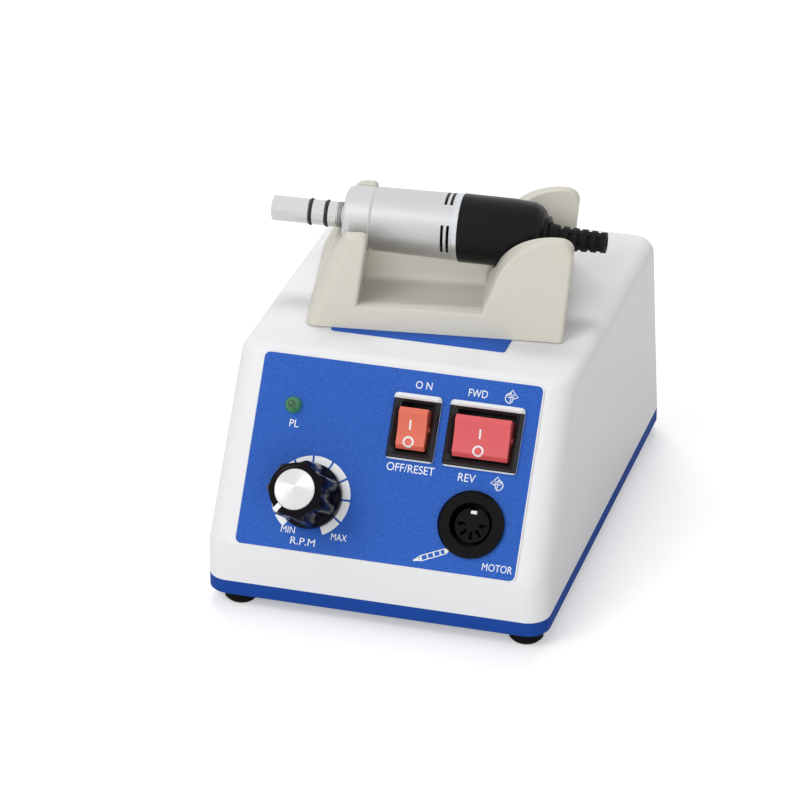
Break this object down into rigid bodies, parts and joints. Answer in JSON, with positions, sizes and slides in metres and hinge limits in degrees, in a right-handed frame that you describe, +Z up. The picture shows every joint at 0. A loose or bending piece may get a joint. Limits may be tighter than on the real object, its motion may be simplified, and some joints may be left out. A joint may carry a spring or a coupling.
{
  "type": "dental lab micromotor",
  "caption": "Bench control box with a sloping front panel, speed knob, rocker switches and motor socket, and a motor handpiece resting in a cradle on the roof.",
  "frame": {"origin": "on the table, under the middle of the bounding box", "axes": "+X to the right of the front panel, +Y from the front panel to the back wall, +Z up"},
  "size_m": [0.1138, 0.1728, 0.1101],
  "materials": {
    "housing_white": "semi-gloss moulded plastic",
    "tray_blue": "semi-gloss moulded plastic",
    "foot_rubber": "matt rubber",
    "screw_steel": "zinc plated",
    "sheet_blue": "fine textured printed sheet",
    "cradle_ivory": "satin moulded plastic",
    "switch_black": "fine textured plastic",
    "power_red": "gloss",
    "direction_red": "gloss",
    "contact_brass": "bright",
    "lamp_green": "gloss, tinted",
    "fitting_black": "satin",
    "plated_steel": "nickel plated",
    "socket_black": "satin",
    "fuse_glass": "clear",
    "core_steel": "varnished laminations",
    "winding_tape": "tape",
    "board_green": "solder resist",
    "sink_aluminium": "as extruded",
    "capacitor_sleeve": "sleeve",
    "knob_black": "high gloss",
    "cap_aluminium": "spun, bright",
    "nose_steel": "polished steel",
    "clip_steel": "turned",
    "seal_rubber": "rubber",
    "collar_silver": "satin anodised",
    "sleeve_silver": "satin anodised",
    "trim_aluminium": "bright",
    "rear_black": "semi-gloss",
    "boot_rubber": "satin rubber",
    "magnet_grey": "sintered",
    "brush_carbon": "carbon",
    "copper_wire": "copper"
  },
  "bodies": {
    "console": {"housing_shell": "housing_white", "rear_panel": "housing_white", "base_tray": "tray_blue", "foot_front_left": "foot_rubber", "foot_front_right": "foot_rubber", "foot_rear_left": "foot_rubber", "foot_rear_right": "foot_rubber", "foot_screws": "screw_steel", "front_overlay": "sheet_blue", "roof_label": "sheet_blue", "cradle": "cradle_ivory", "cradle_screws": "screw_steel", "power_switch_body": "switch_black", "power_switch_terminals": "contact_brass", "direction_switch_body": "switch_black", "direction_switch_terminals": "contact_brass", "pilot_lamp": "lamp_green", "pilot_lamp_clip": "fitting_black", "potentiometer_body": "plated_steel", "potentiometer_nut": "plated_steel", "motor_socket": "socket_black", "motor_socket_core": "socket_black", "motor_socket_contacts": "contact_brass", "motor_socket_nut": "plated_steel", "mains_inlet": "fitting_black", "mains_inlet_blades": "contact_brass", "fuse_holder": "fitting_black", "foot_control_jack": "fitting_black", "foot_control_nut": "plated_steel", "transformer_core": "core_steel", "transformer_winding": "winding_tape", "speed_board": "board_green", "heat_sink": "sink_aluminium", "smoothing_capacitors": "capacitor_sleeve"},
    "power_rocker": {"power_rocker": "power_red"},
    "direction_rocker": {"direction_rocker": "direction_red"},
    "speed_knob": {"speed_knob": "knob_black", "knob_cap": "cap_aluminium", "potentiometer_shaft": "plated_steel"},
    "fuse_cap": {"fuse_cap": "fitting_black", "fuse_link": "fuse_glass"},
    "handpiece": {"nose_spigot": "nose_steel", "nose_seals": "seal_rubber", "nose_clip": "clip_steel", "front_collar": "collar_silver", "motor_sleeve": "sleeve_silver", "sleeve_trim_ring": "trim_aluminium", "rear_cap": "rear_black", "cable_boot": "boot_rubber", "front_bearing": "plated_steel", "rear_bearing": "plated_steel", "field_magnets": "magnet_grey", "brush_holder": "fitting_black", "carbon_brushes": "brush_carbon"},
    "rotor": {"motor_shaft": "plated_steel", "drive_dog": "nose_steel", "armature_core": "core_steel", "armature_windings": "copper_wire", "commutator": "copper_wire", "cooling_fan": "fitting_black"}
  },
  "joints": [
    {"name": "power_rocker_pivot", "type": "hinge", "parent": "console", "child": "power_rocker", "pos_m": [0.008, -0.0508, 0.05893], "axis": [-1, 0, 0], "range_deg": [0, 22]},
    {"name": "direction_rocker_pivot", "type": "hinge", "parent": "console", "child": "direction_rocker", "pos_m": [0.0305, -0.0508, 0.05893], "axis": [-1, 0, 0], "range_deg": [0, 22]},
    {"name": "speed_knob_turn", "type": "hinge", "parent": "console", "child": "speed_knob", "pos_m": [-0.0216, -0.06543, 0.03792], "axis": [0, 0.8274, -0.5616], "range_deg": [0, 300]},
    {"name": "handpiece_lift", "type": "slide", "parent": "console", "child": "handpiece", "axis": [0, 0, 1], "range_m": [0, 0.08]},
    {"name": "rotor_spin", "type": "hinge", "parent": "handpiece", "child": "rotor", "pos_m": [-0.0566, 0.00795, 0.1004], "axis": [0.9967, 0.0784, -0.0227], "continuous": true},
    {"name": "fuse_cap_pull", "type": "slide", "parent": "console", "child": "fuse_cap", "axis": [0, 0.9917, 0.1288], "range_m": [0, 0.036]}
  ]
}
